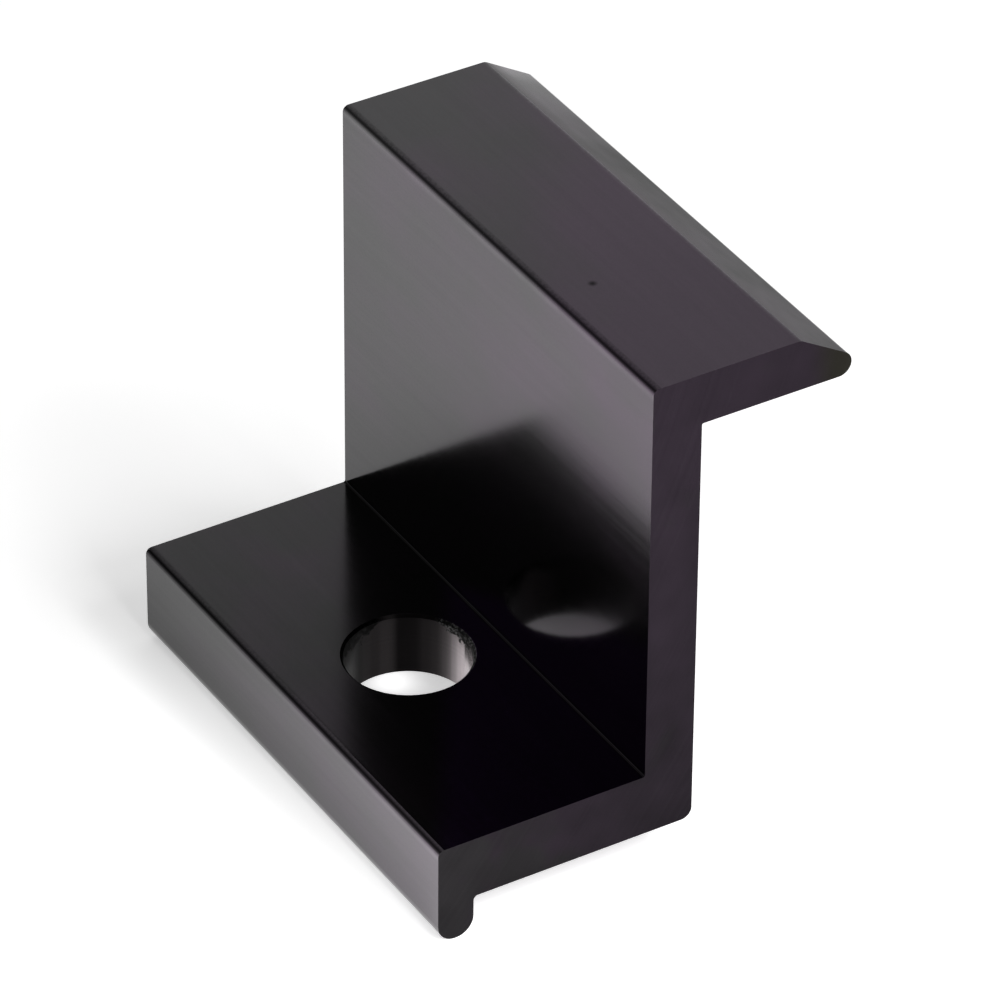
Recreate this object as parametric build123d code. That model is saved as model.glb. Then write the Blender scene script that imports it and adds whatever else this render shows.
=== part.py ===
from build123d import *
import os
from math import radians, tan

# End clamp that holds the frame of a solar module down on its mounting rail.
# One length cut from an aluminium extrusion: a bolted flange with a foot, an upright web and a hooked lip.
# The frame starts at the centre of the bolt hole, on the underside of the flange.
# +X points from the flange to the module, +Y along the extrusion and +Z up the bolt.
# Lengths are in millimetres and angles in degrees.

# Length of the cut piece
clamp_length = 40.0

# Flange, which the bolt pulls down
flange_thickness = 4.8
hole_to_outer_face = 9.5
hole_to_web = 6.6

# Foot, a rounded rib under the flange's outer edge
foot_width = 2.75
foot_drop = 2.95

# Web, the upright wall
web_thickness = 3.8

# Lip, which reaches over the module's frame
lip_seat_height = 32.25
lip_thickness = 3.9
lip_reach = 11.6
bevel_angle = 30.7
nose_radius = 0.95

# Rounded corners of the section
outer_corner_radius = 0.45
inner_corner_radius = 0.15
foot_root_radius = 0.35
heel_radius = 0.8
lip_root_radius = 0.12
bevel_edge_radius = 0.8

# Bolt hole, drilled from the top, where its sharp edge is broken
hole_diameter = 9.0
hole_edge_break = 0.2


def lip_corners():
    """The lip's corners from its root out to the sharp tip and back along the bevel to the top."""
    root_x = hole_to_web + web_thickness
    nose_centre_x = root_x + lip_reach - nose_radius
    sharp_tip_x = nose_centre_x + nose_radius / tan(radians(bevel_angle / 2))
    bevel_start_x = sharp_tip_x - lip_thickness / tan(radians(bevel_angle))
    top_z = lip_seat_height + lip_thickness
    return [
        (root_x, lip_seat_height),
        (sharp_tip_x, lip_seat_height),
        (bevel_start_x, top_z),
        (hole_to_web, top_z),
    ]


def section():
    """The extrusion's section in X and Z."""
    foot_radius = foot_width / 2
    foot_inner_x = foot_width - hole_to_outer_face
    foot_outer_x = -hole_to_outer_face
    foot_round_z = foot_radius - foot_drop
    corners = [
        (foot_inner_x, foot_round_z),
        (foot_inner_x, 0),
        (hole_to_web + web_thickness, 0),
        *lip_corners(),
        (hole_to_web, flange_thickness),
        (foot_outer_x, flange_thickness),
        (foot_outer_x, foot_round_z),
    ]
    radii = [
        min(foot_root_radius, foot_drop - foot_radius),
        heel_radius,
        lip_root_radius,
        nose_radius,
        bevel_edge_radius,
        outer_corner_radius,
        inner_corner_radius,
        outer_corner_radius,
    ]
    with BuildSketch(Plane.XZ) as sketch:
        with BuildLine():
            FilletPolyline(*corners, radius=radii)
            # The foot ends in a half round
            ThreePointArc(
                (foot_outer_x, foot_round_z),
                (foot_outer_x + foot_radius, -foot_drop),
                (foot_inner_x, foot_round_z),
            )
        make_face()
    return sketch.sketch


def bolt_hole():
    """The hole's cutter: a plain bore through the flange, with a small cone at its upper face."""
    bore_radius = hole_diameter / 2
    bore = Cylinder(bore_radius, flange_thickness, align=(Align.CENTER, Align.CENTER, Align.MIN))
    edge_cone = Cone(
        bore_radius,
        bore_radius + hole_edge_break,
        hole_edge_break,
        align=(Align.CENTER, Align.CENTER, Align.MAX),
    )
    return bore + Pos(0, 0, flange_thickness) * edge_cone


def end_clamp():
    """The whole clamp: the section drawn out to its length, then drilled."""
    bar = extrude(section(), amount=clamp_length / 2, both=True)
    return bar - bolt_hole()


os.makedirs("parts", exist_ok=True)
export_step(end_clamp(), "parts/end_clamp.step")
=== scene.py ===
import math

import bmesh
import bpy
from mathutils import Matrix, Vector


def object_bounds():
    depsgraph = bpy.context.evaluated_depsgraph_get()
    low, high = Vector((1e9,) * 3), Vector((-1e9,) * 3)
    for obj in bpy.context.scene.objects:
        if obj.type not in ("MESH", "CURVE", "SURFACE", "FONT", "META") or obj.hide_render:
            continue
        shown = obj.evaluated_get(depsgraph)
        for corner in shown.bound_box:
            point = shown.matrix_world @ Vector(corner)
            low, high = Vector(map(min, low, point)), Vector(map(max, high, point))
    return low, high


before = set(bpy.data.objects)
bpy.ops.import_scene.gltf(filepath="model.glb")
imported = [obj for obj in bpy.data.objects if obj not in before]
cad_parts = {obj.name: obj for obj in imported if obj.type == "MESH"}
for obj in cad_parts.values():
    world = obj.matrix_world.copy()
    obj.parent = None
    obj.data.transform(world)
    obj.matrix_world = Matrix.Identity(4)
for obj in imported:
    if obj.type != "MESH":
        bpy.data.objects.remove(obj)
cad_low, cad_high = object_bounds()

# The end clamp is one length of black anodised extrusion, sawn at both ends and drilled once.
# The frame starts at the bolt hole's centre on the flange's underside. +X points to the lip, +Y along
# the extrusion and +Z up. The studio's lengths are in metres and the finish's in millimetres.
# Angles are in degrees, and every azimuth or turn starts at +Y and runs towards +X.
MM = 0.001
PER_METRE = 1000.0

# Camera, turned and placed as the photograph's own
CAMERA_AZIMUTH = 31.414
CAMERA_ELEVATION = 35.272
CAMERA_ROLL = -0.488
CAMERA_DISTANCE = 494.9 * MM
CAMERA_AIM = Vector((6.729, -0.928, 15.833)) * MM
CAMERA_LENS_MM = 261.9
CAMERA_SENSOR_MM = 36.0
CAMERA_CLIP = (0.01, 100)

# Soft lamps, which all face the frame's origin: place, width and watts
LAMPS = {
    "front_right_high": ((0.090, -0.156, 0.214), 0.09, 0.21),
    "front_near": ((0.0, -0.082, 0.057), 0.05, 0.060),
    "left_near": ((-0.071, -0.041, 0.057), 0.05, 0.020),
    "back_left_low": ((-0.047, 0.081, 0.034), 0.05, 0.005),
}

# A step is a soft change of level. Its numbers are the marks where it starts and ends, and its levels
# before the first mark and after the last.

# Light of the sky by the sine of its elevation: pale at the horizon and overhead, dim between
HORIZON_LIGHT = (0, math.sin(math.radians(10)), 0.60, 0.03)
OVERHEAD_LIGHT = (math.sin(math.radians(60)), 1, 0, 0.40)

# Soft panels in the sky: azimuth, elevation, width, height and strength
PANELS = {
    "back": (38, 17, 27, 18, 0.68),
    "back_high": (6, 45, 13, 7, 0.32),
    "left_back": (-48, 7, 22, 9, 0.40),
}

# One very broad panel to the front right: azimuth, elevation and strength
FRONT_RIGHT = (130, 30, 0.36)

# Floor: its reach each way, its colour, and the whiter one that the camera and reflections see
FLOOR_REACH = 6.0
FLOOR_COLOUR = (0.85, 0.85, 0.85, 1)
FLOOR_SEEN_COLOUR = (1.0, 1.0, 1.0, 1)

# The floor's glow, painted light which grows behind the clamp along this azimuth and ends farther back
GLOW_AZIMUTH = 35
GLOW_GROWTH = (15 * MM, 70 * MM, 0.45, 0.60)
GLOW_END = (110 * MM, 210 * MM, 1.0, 0.05)

# Painted pools of light and painted shadows in that glow: x, y and radius in millimetres, and strength
PAINTED_GLOW_PATCHES = {
    "near_left_painted_light": (-14, -14, 11, 0.10),
    "far_left_painted_shadow": (-12, 24, 8, -0.12),
    "under_hole_painted_shadow": (-3.6, 6.6, 2.6, -0.16),
    "through_hole_painted_light": (2.8, 7.0, 1.3, 0.52),
}

# Places on the clamp that the finish follows, the outermost ones from the CAD model's box
OUTER_FACE = cad_low.x * PER_METRE
HALF_LENGTH = cad_high.y * PER_METRE
LIP_TOP = cad_high.z * PER_METRE
WEB_FACE = 6.6
FLANGE_TOP = 4.8
HOLE_RADIUS = 4.5
EDGE_BREAK = 0.2
BEVEL_START = 17.94

# The flange's flat top stays this far from the outer face and from the web
OUTER_CORNER = 0.5
INNER_CORNER = 0.15

# A place this near a face counts as on it
ON_FACE = 0.005

# What each finish gives to the material, with the kind of its socket
FINISH = {"Colour": "Color", "Roughness": "Float", "Height": "Float"}

# Base colours of the black dye on the drawn skin with a painted violet sheen, and on the sawn ends,
# darkened as painted shade
DYE_NEUTRAL = (0.100, 0.098, 0.101, 1)
DYE_VIOLET = (0.114, 0.091, 0.117, 1)
PAINTED_VIOLET_SHEEN = (0.205, 0.096, 0.310, 1)
SAWN_GREY = (0.0213, 0.0193, 0.0215, 1)
SAWN_VIOLET = (0.0240, 0.0168, 0.0252, 1)
SAWN_OLIVE = (0.0215, 0.0195, 0.0150, 1)

# Patterns, by their spacing along X, Y and Z and how much finer detail they hold
GRAIN = {"spacing": (0.17, 0.17, 0.17), "detail": 1, "rough": 0.7}
CLOUD = {"spacing": (5, 8, 5), "detail": 3}
PATCHES = {"spacing": (1.4, 3, 1.4), "detail": 1}
FINE_LINES = {"spacing": (0.17, 14, 0.17), "detail": 0}
BROAD_LINES = {"spacing": (1.1, 90, 1.1), "detail": 1}
EDGE_SPECKS = {"spacing": (0.35, 0.35, 0.35), "detail": 1, "rough": 0.7}
CORNER_DARKENING = {"spacing": (1.2, 1.2, 1.2), "detail": 1}
BLOTCHES = {"spacing": (4.5, 8, 4.5), "detail": 2, "rough": 0.6}
STAINS = {"spacing": (3, 8, 3), "detail": 1}
STREAKS = {"spacing": (0.8, 0.8, 30), "detail": 1}
CHIPS = {"spacing": (0.70, 0.70, 0.50), "detail": 2, "rough": 0.7}
GLINTS = {"spacing": (0.24, 0.24, 0.24), "detail": 1, "rough": 0.8}

# A grade is a level at the frame's origin, and its change for each millimetre along X, Y and Z.

# Skin: the dye's share of violet, and the tone on each face, painted shade and light. The outer face scales
# the web's tone.
WEB_VIOLET = (0.30, (0, -0.016, 0.004))
LIP_VIOLET = (0.19, (0.05, -0.046, 0))
CLOUD_VIOLET = 0.8
WEB_PAINTED_SHADING = (0.88, (0, -0.009, 0))
LIP_PAINTED_SHADING = (1.13, (0, 0.0075, 0))
FLANGE_PAINTED_SHADING = (0.62, (0, 0.012, 0))
OUTER_FACE_PAINTED_SHADING = (0.72, (0, -0.0135, 0))
OUTER_FACE_DEPTH = 0.2
LIP_TOP_STEP = (LIP_TOP - 0.6, LIP_TOP - 0.1, 0, 1)

# The painted violet sheen on the flange's top sets in along this azimuth, by a step from the frame's origin
PAINTED_SHEEN_AZIMUTH = 121.5
PAINTED_SHEEN_STEP = (1.4, 3.8, 0, 1)

# Roughness of the skin by height, and what is added to it on the flange's top
SKIN_ROUGHNESS = (10, 22, 0.11, 0.15)
FLANGE_ROUGHNESS = 0.06

# How much the grain, the fine lines, the broad lines and the cloud each change the skin
SKIN_TONE_PARTS = (0.09, 0.05, 0.05, 0.05)
SKIN_ROUGHNESS_PARTS = (0.010, 0.010, 0.012, 0.012)
FINE_LINE_HEIGHT = 0.00015
BROAD_LINE_HEIGHT = 0.0010

# Edges: lines along the clamp with painted highlights, and lines with painted shade in dark specks, with
# how far each reaches and how uneven it is
CORNER_REACH = 0.50
PAINTED_SHADE_REACH = 0.4
BEVEL_EDGE_DROP = 0.1
PAINTED_HIGHLIGHT_LINES = (
    (WEB_FACE, 0, LIP_TOP - CORNER_REACH),
    (OUTER_FACE, 0, FLANGE_TOP - CORNER_REACH),
)
PAINTED_SHADE_LINES = (
    (WEB_FACE + PAINTED_SHADE_REACH, 0, LIP_TOP),
    (OUTER_FACE + PAINTED_SHADE_REACH, 0, FLANGE_TOP),
    (BEVEL_START, 0, LIP_TOP - BEVEL_EDGE_DROP),
)
PAINTED_HIGHLIGHT_FALL = (0.10, 0.40, 1, 0)
PAINTED_HIGHLIGHT_PATCHES = (-0.35, 0.30, 0.35, 1)
PAINTED_SHADE_FALL = (0.10, 0.28, 1, 0)
PAINTED_SHADE_SPECKS = (-0.20, 0.20, 0.45, 1)
SAWN_EDGE_FALL = (0.02, 0.14, 1, 0)
SAWN_EDGE_SPECKS = (0.05, 0.35, 0, 0.8)
# How much the wear and the painted highlights lighten, the wear roughens, and the painted shade darkens
WEAR_AND_HIGHLIGHT_TONE = 0.28
WEAR_ROUGHNESS = 0.05
PAINTED_SHADE_TONE = -0.45

# The bevel is blotched, and painted light makes it lighter towards its far tip, in steps along shares of
# the half length
BEVEL_STEP = (BEVEL_START, BEVEL_START + 1.5, 0, 1)
BEVEL_PAINTED_LIGHT_STEPS = ((0.35, 0.50, 0, 1.2), (0.55, 1.05, 0, 5.0), (0.88, 1.00, 0, 3.5))
BEVEL_BLOTCHES = 0.7

# One small dark pit on the lip's top, and darkening along the inner corner
PIT_PLACE = (9.79, -7.32, LIP_TOP)
PIT_STEP = (0.02, 0.45, 0.15, 1)
CORNER_DARKENING_STEP = (0.10, 0.26, 0.25, 1)
CORNER_DARKENING_UNEVEN = 0.06

# Sawn ends: the saw's arcs round its centre, the dye's violet blotches and olive nose, and a tone grade of
# painted shade
SAW_CENTRE = (-95, 0, 70)
ARCS_PER_MM = 2.6
ARC_HEIGHT = 0.0040
END_VIOLET = (0, (0.03, 0, 0))
END_VIOLET_STEP = (-0.35, 0.18, 0, 1)
END_OLIVE_STEP = (18.5, 21.0, 0, 1)
END_PAINTED_SHADE_TONE = (0.66, (-0.016, 0, 0.0168))
END_ROUGHNESS = 0.50

# The stains' pattern is moved by this, so that it doesn't follow the blotches
STAIN_SHIFT = (31, 0, 17)

# How much the arcs, the grain and the stains change the ends' tone, and the first two their roughness
END_TONE_PARTS = (0.10, 0.12, 0.28)
END_ROUGHNESS_PARTS = (0.08, 0.06)

# Bore: tone of its wall, and its changes by turn: a painted dark reflection in one streak and a painted
# bright reflection in another.
BORE_DYE = 0.020
BORE_PAINTED_REFLECTIONS = {
    -60: 0.005, -20: 0.007, -8: 0.023, 15: 0.031, 22: 0.0070, 38: 0.0080, 47: 0.022, 57: 0.032,
    62: 0.052, 66: 0.100, 70: 0.165, 75: 0.310, 80: 0.480, 86: 0.620, 92: 0.520, 105: 0.380, 125: 0.060,
}
BORE_TINT = (1.08, 0.97, 1.0)

# Streaks down the wall, which also shift the tones' turn in radians, and the drill's feed rings
STREAK_SHIFT = 0.04
STREAK_TONE = 0.35
STREAK_ROUGHNESS = 0.05
RINGS_PER_MM = 5.0
RING_TONE = 0.10
RING_HEIGHT = 0.0012

# Roughness of the bore by its turn in radians
BORE_ROUGHNESS = (math.radians(-51.6), math.radians(-17.2), 0.55, 0.22)

# Chips in the bore's upper rim, which is whole at this turn and straight across from it. Their steps
# go by the sine of the turn from there, by its size and by its sign, and by the cosine.
CHIP_FREE_TURN = 31
CHIPS_BY_SIZE = (0.35, 0.78, 0, 1)
CHIPS_BY_COSINE = (-0.5, 0, 0.3, 1)
CHIP_DEPTH_BY_SIDE = (-0.3, 0.3, 0.95, 0.60)
# Painted light on the chips, dark on one side and bright on the other, and their painted glints
CHIP_PAINTED_LIGHT_BY_SIDE = (-0.3, 0.5, 0.020, 0.24)
CHIP_UNEVEN = 1.3
CHIP_GLINTS = (-0.10, 0.35, 0.15, 1)
CHIP_ROUGHNESS = 0.20
CHIP_HEIGHT = 0.010

# Softness of the chips' edges, how many times sooner than their depth they show in full, and the
# share of the uneven height that shows where the wall is whole
CHIP_SOFTNESS = 0.08
CHIP_SOONER = 4.0
WHOLE_WALL_HEIGHT = 0.15


# Short ways to write materials

def heading(azimuth, elevation=0):
    """The direction of an azimuth and an elevation, as a vector of length one."""
    turn, rise = math.radians(azimuth), math.radians(elevation)
    return Vector((math.sin(turn) * math.cos(rise), math.cos(turn) * math.cos(rise), math.sin(rise)))


def new_material(name):
    """A node material with only its output node: (material, node tree, output)."""
    material = bpy.data.materials.new(name)
    material.use_nodes = True
    tree = material.node_tree
    tree.nodes.clear()
    output = tree.nodes.new("ShaderNodeOutputMaterial")
    return material, tree, output


def feed(tree, socket, value):
    """Give a socket a plain value, or link another node's output to it. None leaves it as it is."""
    if isinstance(value, bpy.types.NodeSocket):
        tree.links.new(value, socket)
    elif value is not None:
        socket.default_value = value


def math_node(tree, operation, first, second=None, third=None, clamp=False):
    """One Math node, whose inputs are numbers or the outputs of other nodes."""
    node = tree.nodes.new("ShaderNodeMath")
    node.operation = operation
    node.use_clamp = clamp
    for socket, value in zip(node.inputs, (first, second, third)):
        feed(tree, socket, value)
    return node.outputs[0]


def product(tree, first, *others):
    """All the values multiplied together."""
    total = first
    for other in others:
        total = math_node(tree, "MULTIPLY", total, other)
    return total


def weighted(tree, base, *parts):
    """A base value plus each part times its weight."""
    total = base
    for part, weight in parts:
        total = math_node(tree, "MULTIPLY_ADD", part, weight, total)
    return total


def between(tree, value, low, high):
    """One from the low mark to the high one, and nothing outside them."""
    return math_node(tree, "COMPARE", value, (low + high) / 2, (high - low) / 2)


def smooth_step(tree, value, step):
    """The level of a step at a value."""
    node = tree.nodes.new("ShaderNodeMapRange")
    node.interpolation_type = "SMOOTHSTEP"
    feed(tree, node.inputs["Value"], value)
    for label, number in zip(("From Min", "From Max", "To Min", "To Max"), step):
        node.inputs[label].default_value = number
    return node.outputs["Result"]


def mix_node(tree, kind, factor, first, second):
    """Blend from the first value to the second, both of one kind."""
    node = tree.nodes.new("ShaderNodeMix")
    node.data_type = kind
    feed(tree, node.inputs["Factor"], factor)
    feed(tree, node.inputs["A"], first)
    feed(tree, node.inputs["B"], second)
    return node.outputs["Result"]


def mix_colour(tree, factor, first, second):
    """Blend from the first colour to the second."""
    return mix_node(tree, "RGBA", factor, first, second)


def mix_value(tree, factor, first, second):
    """Blend from the first number to the second."""
    return mix_node(tree, "FLOAT", factor, first, second)


def vector_node(tree, operation, first, second=None, scale=None, gives="Vector"):
    """One Vector Math node, which gives a Vector or a Value. Its third vector isn't used."""
    node = tree.nodes.new("ShaderNodeVectorMath")
    node.operation = operation
    for socket, value in zip(node.inputs, (first, second, None, scale)):
        feed(tree, socket, value)
    return node.outputs[gives]


def scaled(tree, vector, scale):
    """A vector or a colour times a number."""
    return vector_node(tree, "SCALE", vector, scale=scale)


def dot(tree, first, second):
    """The dot product of two vectors."""
    return vector_node(tree, "DOT_PRODUCT", first, second, gives="Value")


def distance_to(tree, place, point):
    """How far a place is from a point."""
    return vector_node(tree, "DISTANCE", place, point, gives="Value")


def nearest(tree, place, points):
    """How far a place is from the nearest of the points."""
    near, *others = [distance_to(tree, place, point) for point in points]
    for other in others:
        near = math_node(tree, "MINIMUM", near, other)
    return near


def axes(tree, place):
    """The X, Y and Z of a place."""
    split = tree.nodes.new("ShaderNodeSeparateXYZ")
    feed(tree, split.inputs[0], place)
    return split.outputs


def in_section(tree, place):
    """A place moved along Y into the section at mid-length."""
    return vector_node(tree, "MULTIPLY", place, (1, 0, 1))


def graded(tree, place, grade):
    """The level of a grade at a place."""
    level, slopes = grade
    return math_node(tree, "ADD", dot(tree, place, slopes), level)


def about_zero(tree, share):
    """Spread a value from 0 to 1 over -1 to 1."""
    return math_node(tree, "MULTIPLY_ADD", share, 2.0, -1.0)


def noise(tree, place, spacing, detail, rough=0.5):
    """Soft noise about zero, spaced by these millimetres along X, Y and Z."""
    node = tree.nodes.new("ShaderNodeTexNoise")
    node.inputs["Scale"].default_value = 1.0
    node.inputs["Detail"].default_value = detail
    node.inputs["Roughness"].default_value = rough
    feed(tree, node.inputs["Vector"], vector_node(tree, "DIVIDE", place, spacing))
    return about_zero(tree, node.outputs[0])


def noise_along(tree, length, per_mm, detail=2.0):
    """Soft noise about zero along one length, with so many waves in a millimetre."""
    node = tree.nodes.new("ShaderNodeTexNoise")
    node.noise_dimensions = "1D"
    node.inputs["Scale"].default_value = per_mm
    node.inputs["Detail"].default_value = detail
    feed(tree, node.inputs["W"], length)
    return about_zero(tree, node.outputs[0])


def soft_fall(tree, square):
    """One at a soft patch's centre, falling away with the square of the distance."""
    return math_node(tree, "EXPONENT", math_node(tree, "MULTIPLY", square, -0.5))


def new_group(name, inputs, outputs):
    """A node group with named sockets: (group, its inputs, its outputs)."""
    group = bpy.data.node_groups.new(name, "ShaderNodeTree")
    for label, kind in inputs.items():
        group.interface.new_socket(name=label, in_out="INPUT", socket_type="NodeSocket" + kind)
    for label, kind in outputs.items():
        group.interface.new_socket(name=label, in_out="OUTPUT", socket_type="NodeSocket" + kind)
    start = group.nodes.new("NodeGroupInput").outputs
    end = group.nodes.new("NodeGroupOutput").inputs
    return group, start, end


def use_group(tree, group, **values):
    """Place a node group and feed its inputs."""
    node = tree.nodes.new("ShaderNodeGroup")
    node.node_tree = group
    for label, value in values.items():
        feed(tree, node.inputs[label], value)
    return node.outputs


# The clamp's finishes

def drawn_skin_group():
    """The dyed skin of the drawn faces: die lines along the length, fine grain, slow shifts of tone, and
    painted shade, light and sheen.
    """
    group, start, end = new_group(
        "drawn_skin", {"Place": "Vector", "Grain": "Float", "Cloud": "Float"}, FINISH)
    place, grain, cloud = start["Place"], start["Grain"], start["Cloud"]
    parts = axes(group, place)
    x, z = parts["X"], parts["Z"]
    fine_lines, broad_lines = noise(group, place, **FINE_LINES), noise(group, place, **BROAD_LINES)
    patterns = (grain, fine_lines, broad_lines, cloud)
    on_lip = smooth_step(group, z, LIP_TOP_STEP)
    on_flange = product(
        group, between(group, z, FLANGE_TOP - ON_FACE, FLANGE_TOP + ON_FACE),
        between(group, x, OUTER_FACE + OUTER_CORNER, WEB_FACE - INNER_CORNER))
    on_outer_face = math_node(group, "LESS_THAN", x, OUTER_FACE + OUTER_FACE_DEPTH)

    # The dye turns more violet towards the near end, above all on the lip's top
    web_violet, lip_violet = graded(group, place, WEB_VIOLET), graded(group, place, LIP_VIOLET)
    violet = mix_value(group, on_lip, web_violet, lip_violet)
    violet = math_node(group, "MULTIPLY_ADD", cloud, CLOUD_VIOLET, violet, clamp=True)
    colour = mix_colour(group, violet, DYE_NEUTRAL, DYE_VIOLET)
    # The flange's top has a painted violet sheen on its near inner side
    painted_sheen_side = smooth_step(group, dot(group, place, heading(PAINTED_SHEEN_AZIMUTH)), PAINTED_SHEEN_STEP)
    colour = mix_colour(group, product(group, on_flange, painted_sheen_side), colour, PAINTED_VIOLET_SHEEN)

    # Painted shade darkens the upright faces towards the far end, and painted light brightens the tops
    # there
    tone = mix_value(group, on_lip, graded(group, place, WEB_PAINTED_SHADING), graded(group, place, LIP_PAINTED_SHADING))
    tone = mix_value(group, on_flange, tone, graded(group, place, FLANGE_PAINTED_SHADING))
    outer_painted_shading = mix_value(group, on_outer_face, 1.0, graded(group, place, OUTER_FACE_PAINTED_SHADING))
    tone = weighted(group, product(group, tone, outer_painted_shading), *zip(patterns, SKIN_TONE_PARTS))
    feed(group, end["Colour"], scaled(group, colour, tone))

    rough = weighted(group, smooth_step(group, z, SKIN_ROUGHNESS), (on_flange, FLANGE_ROUGHNESS))
    feed(group, end["Roughness"], weighted(group, rough, *zip(patterns, SKIN_ROUGHNESS_PARTS)))
    height = weighted(group, 0.0, (fine_lines, FINE_LINE_HEIGHT), (broad_lines, BROAD_LINE_HEIGHT))
    feed(group, end["Height"], height)
    return group


def edge_wear_and_painted_light_group():
    """How the dye lies at the edges, with painted light. One output is wear, rubbed thin in specks at the
    sawn edges, together with painted highlight lines along the corners. The other is painted shade in dark
    specks beside them.
    """
    group, start, end = new_group(
        "edge_wear_and_painted_light", {"Place": "Vector", "Grain": "Float", "Patches": "Float"},
        {"WearAndHighlight": "Float", "PaintedShade": "Float"})
    place = start["Place"]
    flat = in_section(group, place)
    # Painted highlight lines along the corners, uneven in patches, then wear in specks at the sawn edges
    on_painted_highlight = smooth_step(group, nearest(group, flat, PAINTED_HIGHLIGHT_LINES), PAINTED_HIGHLIGHT_FALL)
    painted_highlight = product(group, on_painted_highlight, smooth_step(group, start["Patches"], PAINTED_HIGHLIGHT_PATCHES))
    from_middle = math_node(group, "ABSOLUTE", axes(group, place)["Y"])
    from_end = math_node(group, "SUBTRACT", HALF_LENGTH, from_middle)
    specks = smooth_step(group, noise(group, place, **EDGE_SPECKS), SAWN_EDGE_SPECKS)
    sawn_edge = product(group, smooth_step(group, from_end, SAWN_EDGE_FALL), specks)
    feed(group, end["WearAndHighlight"], math_node(group, "MAXIMUM", painted_highlight, sawn_edge))
    # Painted shade in dark specks along the lines beside the corners
    on_painted_shade = smooth_step(group, nearest(group, flat, PAINTED_SHADE_LINES), PAINTED_SHADE_FALL)
    dark_specks = smooth_step(group, start["Grain"], PAINTED_SHADE_SPECKS)
    feed(group, end["PaintedShade"], product(group, on_painted_shade, dark_specks))
    return group


def sawn_end_group():
    """The sawn ends: dull, darkened with painted shade, with the saw's wide faint arcs, and blotches and
    stains in the dye.
    """
    group, start, end = new_group("sawn_end", {"Place": "Vector", "Grain": "Float"}, FINISH)
    place, grain = start["Place"], start["Grain"]
    from_saw = distance_to(group, in_section(group, place), SAW_CENTRE)
    arc = noise_along(group, from_saw, ARCS_PER_MM, detail=1.0)
    stain = noise(group, vector_node(group, "ADD", place, STAIN_SHIFT), **STAINS)
    patterns = (arc, grain, stain)
    # The dye is violet in blotches, more so towards the lip, and olive at its nose
    violet = math_node(group, "ADD", noise(group, place, **BLOTCHES), graded(group, place, END_VIOLET))
    colour = mix_colour(group, smooth_step(group, violet, END_VIOLET_STEP), SAWN_GREY, SAWN_VIOLET)
    at_nose = smooth_step(group, axes(group, place)["X"], END_OLIVE_STEP)
    colour = mix_colour(group, at_nose, colour, SAWN_OLIVE)
    # The tone grade, darker low down and towards the lip, is painted shade
    tone = weighted(group, graded(group, place, END_PAINTED_SHADE_TONE), *zip(patterns, END_TONE_PARTS))
    feed(group, end["Colour"], scaled(group, colour, tone))
    feed(group, end["Roughness"], weighted(group, END_ROUGHNESS, *zip(patterns, END_ROUGHNESS_PARTS)))
    feed(group, end["Height"], math_node(group, "MULTIPLY", arc, ARC_HEIGHT))
    return group


def bore_dye_and_painted_reflections(tree, turn):
    """The colour of the bore's wall at a turn in radians, with its painted reflections. The colour ramp
    holds one whole turn.
    """
    ramp = tree.nodes.new("ShaderNodeValToRGB")
    feed(tree, ramp.inputs[0], math_node(tree, "MULTIPLY_ADD", turn, 0.5 / math.pi, 0.5))
    stops = ramp.color_ramp.elements
    stops[0].color = stops[1].color = (BORE_DYE, BORE_DYE, BORE_DYE, 1)
    for degrees, tone in BORE_PAINTED_REFLECTIONS.items():
        stops.new(degrees / 360 + 0.5).color = (*(tone * tint for tint in BORE_TINT), 1)
    return ramp.outputs["Color"]


def chipped_rim(tree, place, turn, chips):
    """The bore rim's chips, painted dark on one side and bright on the other, with painted glints: (where,
    their tone).
    """
    from_whole = math_node(tree, "SUBTRACT", turn, math.radians(CHIP_FREE_TURN))
    side = math_node(tree, "SINE", from_whole)
    aside = smooth_step(tree, math_node(tree, "ABSOLUTE", side), CHIPS_BY_SIZE)
    back = smooth_step(tree, math_node(tree, "COSINE", from_whole), CHIPS_BY_COSINE)
    depth = weighted(tree, smooth_step(tree, side, CHIP_DEPTH_BY_SIDE), (chips, CHIP_UNEVEN))
    # A chip starts where the height and its own depth together reach the rim
    rim = FLANGE_TOP - EDGE_BREAK
    level = math_node(tree, "ADD", axes(tree, place)["Z"], product(tree, aside, back, depth))
    chipped = smooth_step(tree, level, (rim - CHIP_SOFTNESS, rim + CHIP_SOFTNESS, 0, 1))
    chipped = product(tree, chipped, math_node(tree, "MULTIPLY", aside, CHIP_SOONER, clamp=True))
    # Painted glints, painted dark on one side and bright on the other
    glints = smooth_step(tree, noise(tree, place, **GLINTS), CHIP_GLINTS)
    return chipped, product(tree, glints, smooth_step(tree, side, CHIP_PAINTED_LIGHT_BY_SIDE))


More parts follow.
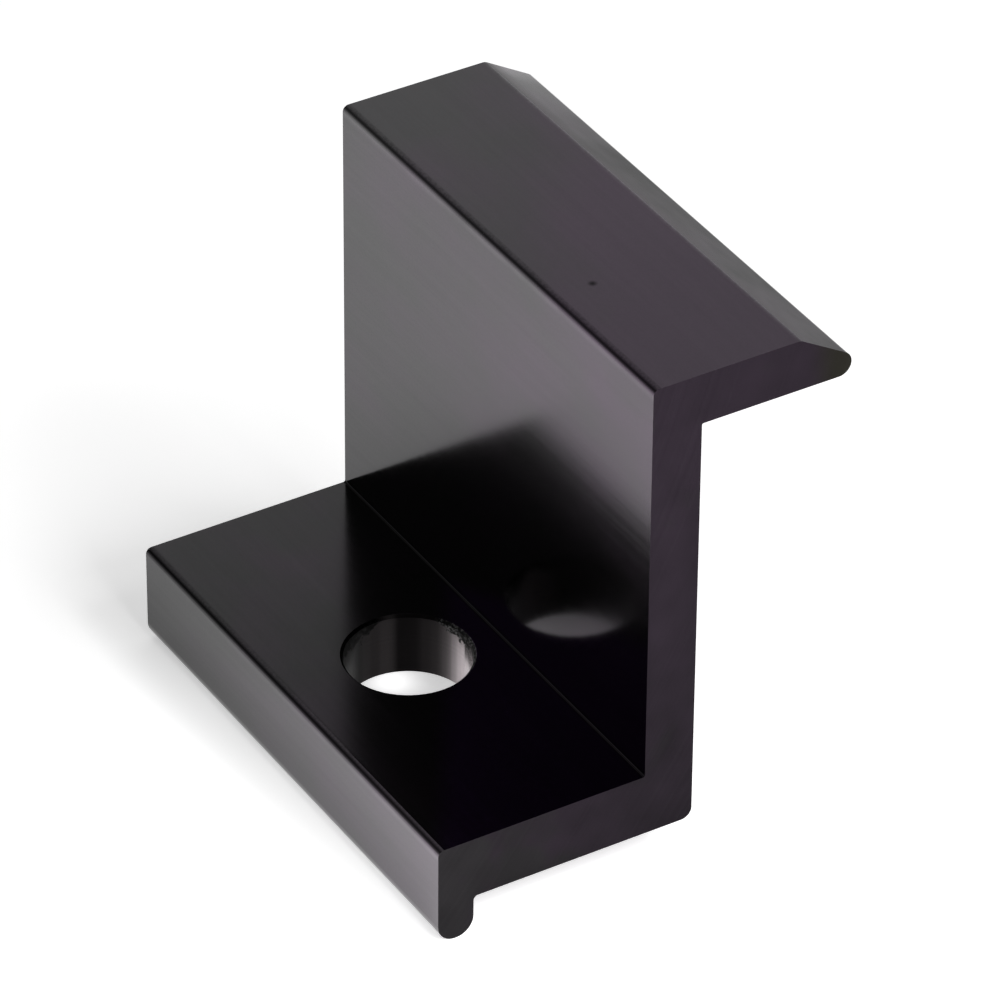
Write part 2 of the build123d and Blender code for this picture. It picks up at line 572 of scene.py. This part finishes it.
def bored_wall_group():
    """The drilled wall: dark dye with painted reflections, the drill's feed rings and a chipped upper rim.
    """
    group, start, end = new_group("bored_wall", {"Place": "Vector"}, FINISH)
    place = start["Place"]
    x, y, z = axes(group, place)
    turn = math_node(group, "ARCTAN2", x, y)
    streak, chips = noise(group, place, **STREAKS), noise(group, place, **CHIPS)
    ring = noise_along(group, z, RINGS_PER_MM)
    tone = weighted(group, 1.0, (ring, RING_TONE), (streak, STREAK_TONE))
    # The wall's colour by turn holds its painted reflections
    wall = scaled(group, bore_dye_and_painted_reflections(group, weighted(group, turn, (streak, STREAK_SHIFT))), tone)
    chipped, chip_painted_light = chipped_rim(group, place, turn, chips)
    feed(group, end["Colour"], mix_colour(group, chipped, wall, chip_painted_light))
    rough = smooth_step(group, turn, BORE_ROUGHNESS)
    rough = weighted(group, rough, (streak, STREAK_ROUGHNESS), (chipped, CHIP_ROUGHNESS))
    feed(group, end["Roughness"], rough)
    height = weighted(group, 0.0, (ring, RING_HEIGHT), (chips, CHIP_HEIGHT))
    feed(group, end["Height"], product(group, height, mix_value(group, chipped, WHOLE_WALL_HEIGHT, 1.0)))
    return group


def skin_shade(tree, place, edges, cloud, patches):
    """How light the skin is: wear and painted light on edges and bevel raise it; painted shade, the pit and
    the inner corner lower it.
    """
    parts = axes(tree, place)
    along = math_node(tree, "DIVIDE", parts["Y"], HALF_LENGTH)
    bevel_blotches_and_painted_light = weighted(tree, 0.0, (cloud, BEVEL_BLOTCHES), (patches, BEVEL_BLOTCHES))
    # Steps of painted light along the bevel towards its far tip
    for step in BEVEL_PAINTED_LIGHT_STEPS:
        bevel_blotches_and_painted_light = math_node(tree, "ADD", bevel_blotches_and_painted_light, smooth_step(tree, along, step))
    # Wear and painted highlights lighten the skin, and painted shade darkens it
    lighter = weighted(tree, 1.0, (edges["WearAndHighlight"], WEAR_AND_HIGHLIGHT_TONE), (edges["PaintedShade"], PAINTED_SHADE_TONE))
    on_bevel = smooth_step(tree, parts["X"], BEVEL_STEP)
    lighter = math_node(tree, "MULTIPLY_ADD", on_bevel, bevel_blotches_and_painted_light, lighter)
    pit = smooth_step(tree, distance_to(tree, place, PIT_PLACE), PIT_STEP)
    # Darker along the inner corner, unevenly
    from_corner = distance_to(tree, in_section(tree, place), (WEB_FACE, 0, FLANGE_TOP))
    from_corner = weighted(tree, from_corner, (noise(tree, place, **CORNER_DARKENING), CORNER_DARKENING_UNEVEN))
    return product(tree, lighter, pit, smooth_step(tree, from_corner, CORNER_DARKENING_STEP))


def bore_mask(tree, place):
    """One on the bore's wall and on its broken upper edge."""
    from_axis = distance_to(tree, vector_node(tree, "MULTIPLY", place, (1, 1, 0)), (0, 0, 0))
    in_reach = math_node(tree, "LESS_THAN", from_axis, HOLE_RADIUS + EDGE_BREAK + ON_FACE)
    return product(tree, in_reach, between(tree, axes(tree, place)["Z"], ON_FACE, FLANGE_TOP - ON_FACE))


def end_mask(tree, place):
    """One on the two sawn ends."""
    from_middle = math_node(tree, "ABSOLUTE", axes(tree, place)["Y"])
    return math_node(tree, "GREATER_THAN", from_middle, HALF_LENGTH - ON_FACE)


def anodised_aluminium():
    """Black anodised finish: glossy along the drawn faces, dull on the sawn ends, dark in the bore."""
    material, tree, output = new_material("black_anodised_aluminium")
    nodes, links = tree.nodes, tree.links
    place = scaled(tree, nodes.new("ShaderNodeTexCoord").outputs["Object"], PER_METRE)
    grain = noise(tree, place, **GRAIN)
    cloud = noise(tree, place, **CLOUD)
    patches = noise(tree, place, **PATCHES)
    edges = use_group(tree, edge_wear_and_painted_light_group(), Place=place, Grain=grain, Patches=patches)
    drawn = use_group(tree, drawn_skin_group(), Place=place, Grain=grain, Cloud=cloud)
    sawn = use_group(tree, sawn_end_group(), Place=place, Grain=grain)
    bored = use_group(tree, bored_wall_group(), Place=place)
    skin = {
        "Colour": scaled(tree, drawn["Colour"], skin_shade(tree, place, edges, cloud, patches)),
        "Roughness": weighted(tree, drawn["Roughness"], (edges["WearAndHighlight"], WEAR_ROUGHNESS)),
        "Height": drawn["Height"],
    }

    # The sawn ends and then the bore are laid over the skin
    on_end, in_bore = end_mask(tree, place), bore_mask(tree, place)
    finish = {}
    for label, mix in (("Colour", mix_colour), ("Roughness", mix_value), ("Height", mix_value)):
        finish[label] = mix(tree, in_bore, mix(tree, on_end, skin[label], sawn[label]), bored[label])

    bump = nodes.new("ShaderNodeBump")
    bump.inputs["Strength"].default_value = 1.0
    bump.inputs["Distance"].default_value = MM
    links.new(finish["Height"], bump.inputs["Height"])
    shader = nodes.new("ShaderNodeBsdfPrincipled")
    shader.inputs["Metallic"].default_value = 1.0
    links.new(finish["Colour"], shader.inputs["Base Color"])
    links.new(finish["Roughness"], shader.inputs["Roughness"])
    links.new(bump.outputs["Normal"], shader.inputs["Normal"])
    links.new(shader.outputs[0], output.inputs["Surface"])
    return material


# The studio

def glow_level(tree, place, height):
    """The floor's glow, painted light: strongest behind the clamp, where less of the lamps' light falls."""
    behind = dot(tree, place, heading(GLOW_AZIMUTH))
    level = product(tree, smooth_step(tree, behind, GLOW_GROWTH), smooth_step(tree, behind, GLOW_END))
    # Painted pools of light and painted shadows
    for centre_x, centre_y, radius, strength in PAINTED_GLOW_PATCHES.values():
        centre = (centre_x * MM, centre_y * MM, height)
        apart = math_node(tree, "DIVIDE", distance_to(tree, place, centre), radius * MM)
        level = weighted(tree, level, (soft_fall(tree, product(tree, apart, apart)), strength))
    return level


def pale_floor(height):
    """The floor's material. It is white to the camera and in reflections, and keeps the object's shadow."""
    material, tree, output = new_material("pale_floor")
    # The glow only shows to the camera and in reflections, so it isn't sampled as a lamp
    material.cycles.emission_sampling = "NONE"
    nodes, links = tree.nodes, tree.links
    pale = nodes.new("ShaderNodeBsdfDiffuse")
    pale.inputs["Color"].default_value = FLOOR_COLOUR
    seen_pale = nodes.new("ShaderNodeBsdfDiffuse")
    seen_pale.inputs["Color"].default_value = FLOOR_SEEN_COLOUR
    glow = nodes.new("ShaderNodeEmission")
    place = nodes.new("ShaderNodeTexCoord").outputs["Object"]
    links.new(glow_level(tree, place, height), glow.inputs["Strength"])
    seen = nodes.new("ShaderNodeAddShader")
    links.new(seen_pale.outputs[0], seen.inputs[0])
    links.new(glow.outputs[0], seen.inputs[1])
    path = nodes.new("ShaderNodeLightPath")
    direct = math_node(tree, "MAXIMUM", path.outputs["Is Camera Ray"], path.outputs["Is Glossy Ray"])
    direct = math_node(tree, "MAXIMUM", direct, path.outputs["Is Transmission Ray"])
    mix = nodes.new("ShaderNodeMixShader")
    links.new(direct, mix.inputs[0])
    links.new(pale.outputs[0], mix.inputs[1])
    links.new(seen.outputs[0], mix.inputs[2])
    links.new(mix.outputs[0], output.inputs["Surface"])
    return material


def studio_floor(height):
    """A wide pale floor."""
    mesh = bpy.data.meshes.new("studio_floor")
    shape = bmesh.new()
    bmesh.ops.create_grid(shape, x_segments=1, y_segments=1, size=FLOOR_REACH)
    bmesh.ops.translate(shape, verts=shape.verts, vec=(0, 0, height))
    shape.to_mesh(mesh)
    shape.free()
    mesh.materials.append(pale_floor(height))
    floor = bpy.data.objects.new("studio_floor", mesh)
    bpy.context.scene.collection.objects.link(floor)


def soft_panel_group():
    """A soft patch of light round one direction, brightest at its centre."""
    group, start, end = new_group(
        "soft_panel", {"Direction": "Vector", "Centre": "Vector", "Spread": "Vector"}, {"Light": "Float"})
    apart = vector_node(group, "SUBTRACT", start["Direction"], start["Centre"])
    apart = vector_node(group, "DIVIDE", apart, start["Spread"])
    feed(group, end["Light"], soft_fall(group, dot(group, apart, apart)))
    return group


def studio_world():
    """Soft light from all round: pale at the horizon and overhead, with broad soft panels between."""
    world = bpy.data.worlds.new("studio")
    bpy.context.scene.world = world
    world.use_nodes = True
    # The light changes slowly round the sky, so it needs no importance map
    world.cycles.sampling_method = "NONE"
    tree = world.node_tree
    tree.nodes.clear()
    nodes, links = tree.nodes, tree.links
    output = nodes.new("ShaderNodeOutputWorld")
    background = nodes.new("ShaderNodeBackground")
    links.new(background.outputs[0], output.inputs["Surface"])
    direction = nodes.new("ShaderNodeTexCoord").outputs["Generated"]
    rise = axes(tree, direction)["Z"]
    level = smooth_step(tree, rise, HORIZON_LIGHT)
    level = math_node(tree, "ADD", level, smooth_step(tree, rise, OVERHEAD_LIGHT))
    azimuth, elevation, strength = FRONT_RIGHT
    towards_front = dot(tree, direction, heading(azimuth, elevation))
    level = weighted(tree, level, (math_node(tree, "MAXIMUM", towards_front, 0.0), strength))
    panel_group = soft_panel_group()
    for azimuth, elevation, width, height, strength in PANELS.values():
        spread = (math.radians(width), math.radians(width), math.radians(height))
        panel = use_group(
            tree, panel_group, Direction=direction, Centre=heading(azimuth, elevation), Spread=spread)
        level = weighted(tree, level, (panel["Light"], strength))
    links.new(level, background.inputs["Strength"])


def soft_lamp(name, place, width, watts):
    """A square soft box that faces the frame's origin."""
    light = bpy.data.lights.new(name, "AREA")
    light.shape = "SQUARE"
    light.size = width
    light.energy = watts
    lamp = bpy.data.objects.new(name, light)
    lamp.location = place
    lamp.rotation_euler = (-Vector(place)).to_track_quat("-Z", "Y").to_euler()
    lamp.visible_glossy = False
    lamp.visible_camera = False
    bpy.context.scene.collection.objects.link(lamp)


def photo_camera():
    """The camera at the photograph's place and turn."""
    data = bpy.data.cameras.new("camera")
    data.sensor_width = CAMERA_SENSOR_MM
    data.lens = CAMERA_LENS_MM
    data.clip_start, data.clip_end = CAMERA_CLIP
    camera = bpy.data.objects.new("camera", data)
    ahead = heading(CAMERA_AZIMUTH, -CAMERA_ELEVATION)
    turn = ahead.to_track_quat("-Z", "Y").to_matrix().to_4x4()
    roll = Matrix.Rotation(math.radians(CAMERA_ROLL), 4, ahead)
    camera.matrix_world = Matrix.Translation(CAMERA_AIM - ahead * CAMERA_DISTANCE) @ roll @ turn
    bpy.context.scene.collection.objects.link(camera)
    bpy.context.scene.camera = camera


# The whole scene

photo_camera()
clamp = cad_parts["end_clamp"]
clamp.data.materials.clear()
clamp.data.materials.append(anodised_aluminium())
studio_floor(cad_low.z)
studio_world()
for lamp_name, (lamp_place, lamp_width, lamp_watts) in LAMPS.items():
    soft_lamp(lamp_name, lamp_place, lamp_width, lamp_watts)

bpy.context.scene.view_settings.view_transform = "Standard"
